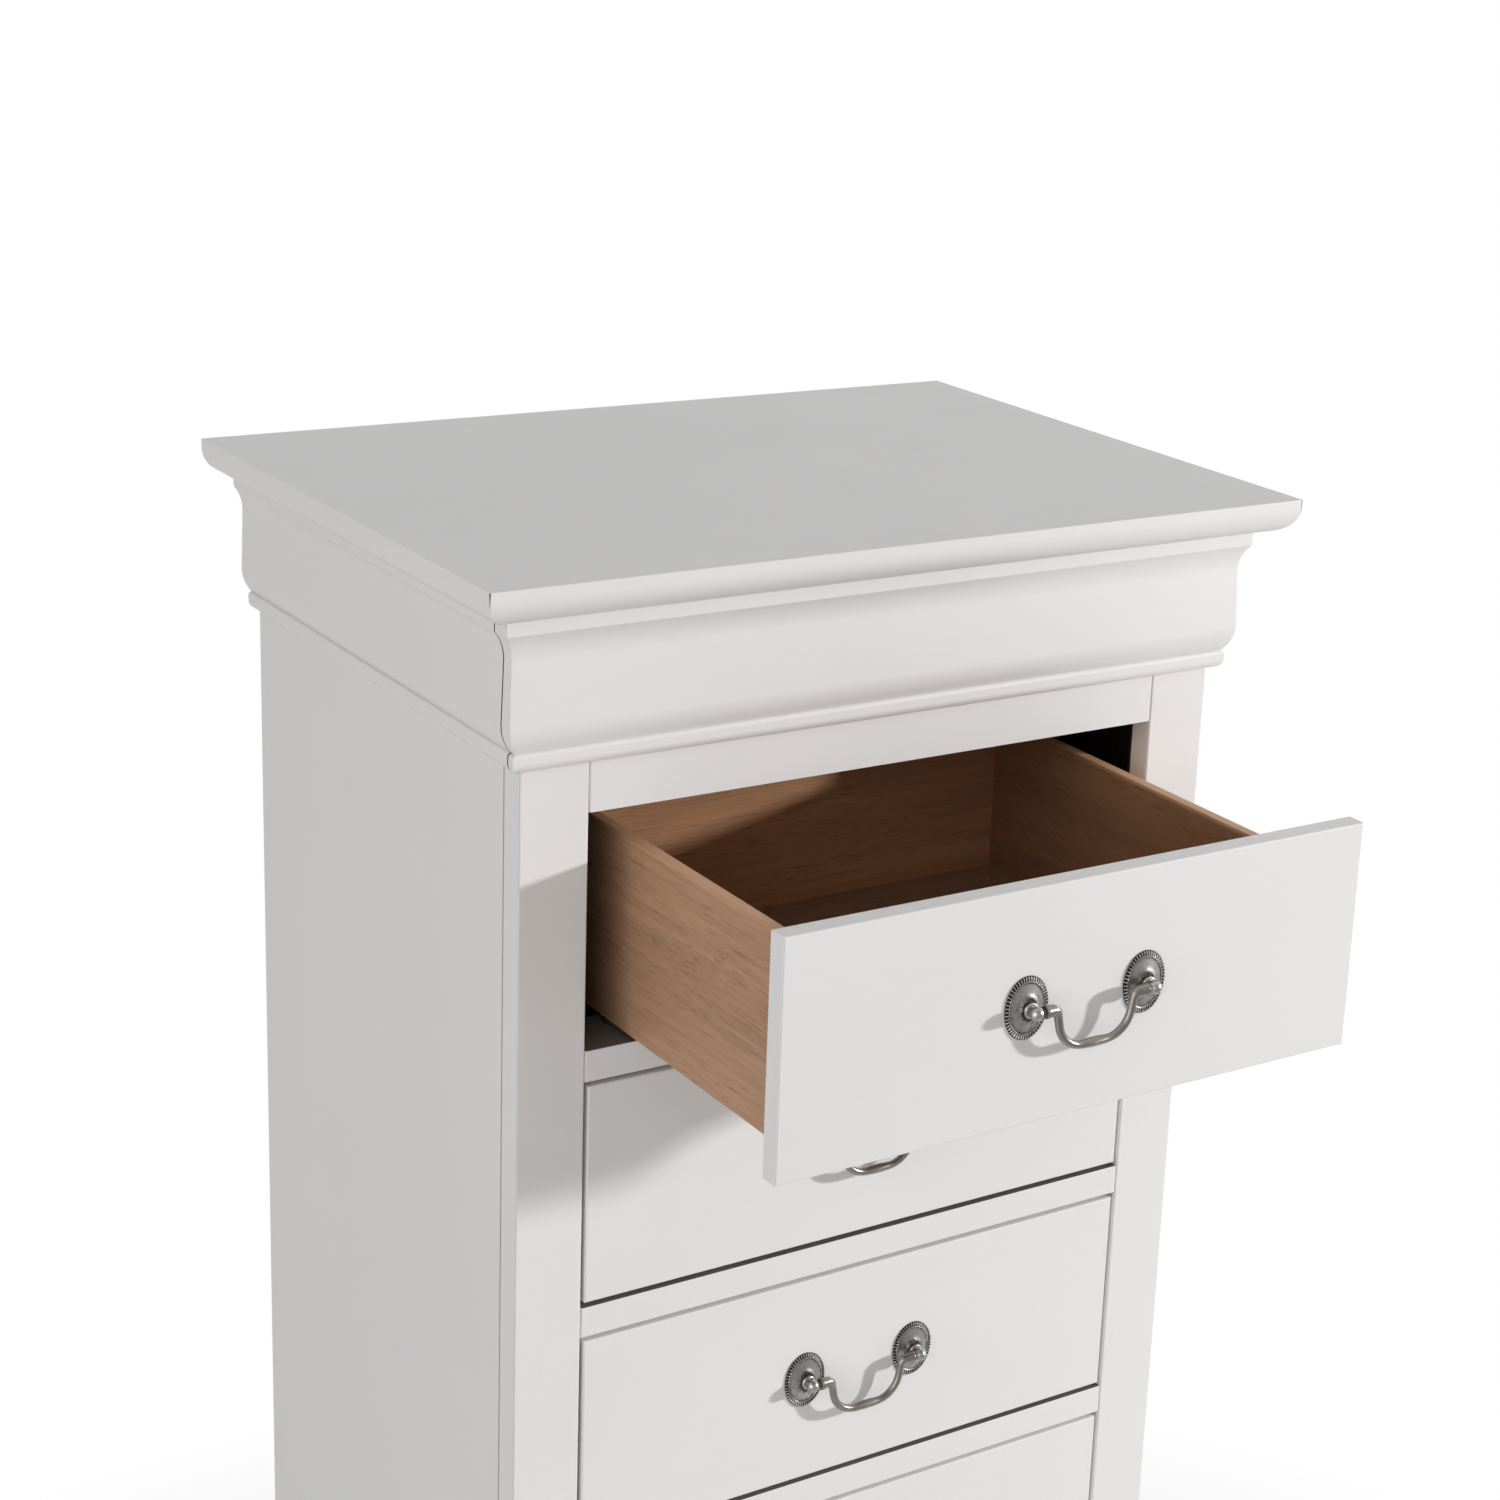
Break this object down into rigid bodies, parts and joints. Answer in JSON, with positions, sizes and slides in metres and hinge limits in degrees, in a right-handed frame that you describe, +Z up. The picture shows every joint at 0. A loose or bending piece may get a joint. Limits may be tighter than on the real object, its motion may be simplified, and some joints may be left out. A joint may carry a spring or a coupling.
{
  "type": "tall narrow chest of drawers",
  "caption": "Tall narrow painted chest of drawers with bail pulls, a moulded cornice hiding a shallow drawer, and a bracket-foot base; one drawer stands open.",
  "frame": {"origin": "on the floor, at the bottom centre of the box round the whole chest as pictured, with its first drawer pulled out 204.4 mm", "axes": "+X to the viewer's right, +Y towards the back, +Z up"},
  "size_m": [0.559, 0.588, 1.295],
  "materials": {
    "white_paint": "satin off-white paint on solid wood",
    "drawer_wood": "thin clear lacquer on tan-brown wood",
    "drawer_bottom_ply": "sanded plywood",
    "hidden_wood": "bare planed wood",
    "aged_pewter": "antique pewter plate on cast brass, satin with dark recesses",
    "screw_steel": "zinc plated",
    "bracket_plastic": "moulded, matt"
  },
  "bodies": {
    "carcass": {"top_panel": "white_paint", "top_edge_mouldings": "white_paint", "top_cleats": "hidden_wood", "top_screws": "screw_steel", "upper_rail": "white_paint", "drawer_rails": "white_paint", "bottom_rail": "white_paint", "stiles": "white_paint", "side_panels": "white_paint", "side_cornices": "white_paint", "back_panel": "drawer_bottom_ply", "carcass_floor": "drawer_bottom_ply", "base_front": "white_paint", "base_sides": "white_paint", "base_back": "hidden_wood", "corner_blocks": "hidden_wood", "centre_runners": "hidden_wood", "runner_brackets": "bracket_plastic", "glide_pads": "bracket_plastic"},
    "hidden_drawer": {"hidden_drawer_moulding": "white_paint", "hidden_drawer_front": "hidden_wood", "hidden_drawer_sides": "drawer_wood", "hidden_drawer_back": "drawer_wood", "hidden_drawer_bottom": "drawer_bottom_ply"},
    "drawer_1": {"drawer_1_front": "white_paint", "drawer_1_sides": "drawer_wood", "drawer_1_back": "drawer_wood", "drawer_1_bottom": "drawer_bottom_ply", "drawer_1_pull_mounts": "aged_pewter"},
    "drawer_1_bail": {"drawer_1_bail": "aged_pewter"},
    "drawer_2": {"drawer_2_front": "white_paint", "drawer_2_sides": "drawer_wood", "drawer_2_back": "drawer_wood", "drawer_2_bottom": "drawer_bottom_ply", "drawer_2_pull_mounts": "aged_pewter"},
    "drawer_2_bail": {"drawer_2_bail": "aged_pewter"},
    "drawer_3": {"drawer_3_front": "white_paint", "drawer_3_sides": "drawer_wood", "drawer_3_back": "drawer_wood", "drawer_3_bottom": "drawer_bottom_ply", "drawer_3_pull_mounts": "aged_pewter"},
    "drawer_3_bail": {"drawer_3_bail": "aged_pewter"},
    "drawer_4": {"drawer_4_front": "white_paint", "drawer_4_sides": "drawer_wood", "drawer_4_back": "drawer_wood", "drawer_4_bottom": "drawer_bottom_ply", "drawer_4_pull_mounts": "aged_pewter"},
    "drawer_4_bail": {"drawer_4_bail": "aged_pewter"},
    "drawer_5": {"drawer_5_front": "white_paint", "drawer_5_sides": "drawer_wood", "drawer_5_back": "drawer_wood", "drawer_5_bottom": "drawer_bottom_ply", "drawer_5_pull_mounts": "aged_pewter"},
    "drawer_5_bail": {"drawer_5_bail": "aged_pewter"},
    "drawer_6": {"drawer_6_front": "white_paint", "drawer_6_sides": "drawer_wood", "drawer_6_back": "drawer_wood", "drawer_6_bottom": "drawer_bottom_ply", "drawer_6_pull_mounts": "aged_pewter"},
    "drawer_6_bail": {"drawer_6_bail": "aged_pewter"}
  },
  "joints": [
    {"name": "hidden_drawer_slide", "type": "slide", "parent": "carcass", "child": "hidden_drawer", "axis": [0, -1, 0], "range_m": [0, 0.235]},
    {"name": "drawer_1_slide", "type": "slide", "parent": "carcass", "child": "drawer_1", "axis": [0, -1, 0], "range_m": [-0.2044, 0.0306]},
    {"name": "drawer_1_bail_swing", "type": "hinge", "parent": "drawer_1", "child": "drawer_1_bail", "pos_m": [0, -0.2899, 1.0783], "axis": [-1, 0, 0], "range_deg": [-15.5, 195.5]},
    {"name": "drawer_2_slide", "type": "slide", "parent": "carcass", "child": "drawer_2", "axis": [0, -1, 0], "range_m": [0, 0.235]},
    {"name": "drawer_2_bail_swing", "type": "hinge", "parent": "drawer_2", "child": "drawer_2_bail", "pos_m": [0, -0.0855, 0.9137], "axis": [-1, 0, 0], "range_deg": [-15.5, 195.5]},
    {"name": "drawer_3_slide", "type": "slide", "parent": "carcass", "child": "drawer_3", "axis": [0, -1, 0], "range_m": [0, 0.235]},
    {"name": "drawer_3_bail_swing", "type": "hinge", "parent": "drawer_3", "child": "drawer_3_bail", "pos_m": [0, -0.0855, 0.7491], "axis": [-1, 0, 0], "range_deg": [-15.5, 195.5]},
    {"name": "drawer_4_slide", "type": "slide", "parent": "carcass", "child": "drawer_4", "axis": [0, -1, 0], "range_m": [0, 0.235]},
    {"name": "drawer_4_bail_swing", "type": "hinge", "parent": "drawer_4", "child": "drawer_4_bail", "pos_m": [0, -0.0855, 0.5845], "axis": [-1, 0, 0], "range_deg": [-15.5, 195.5]},
    {"name": "drawer_5_slide", "type": "slide", "parent": "carcass", "child": "drawer_5", "axis": [0, -1, 0], "range_m": [0, 0.235]},
    {"name": "drawer_5_bail_swing", "type": "hinge", "parent": "drawer_5", "child": "drawer_5_bail", "pos_m": [0, -0.0855, 0.4199], "axis": [-1, 0, 0], "range_deg": [-15.5, 195.5]},
    {"name": "drawer_6_slide", "type": "slide", "parent": "carcass", "child": "drawer_6", "axis": [0, -1, 0], "range_m": [0, 0.235]},
    {"name": "drawer_6_bail_swing", "type": "hinge", "parent": "drawer_6", "child": "drawer_6_bail", "pos_m": [0, -0.0855, 0.2553], "axis": [-1, 0, 0], "range_deg": [-15.5, 195.5]}
  ]
}
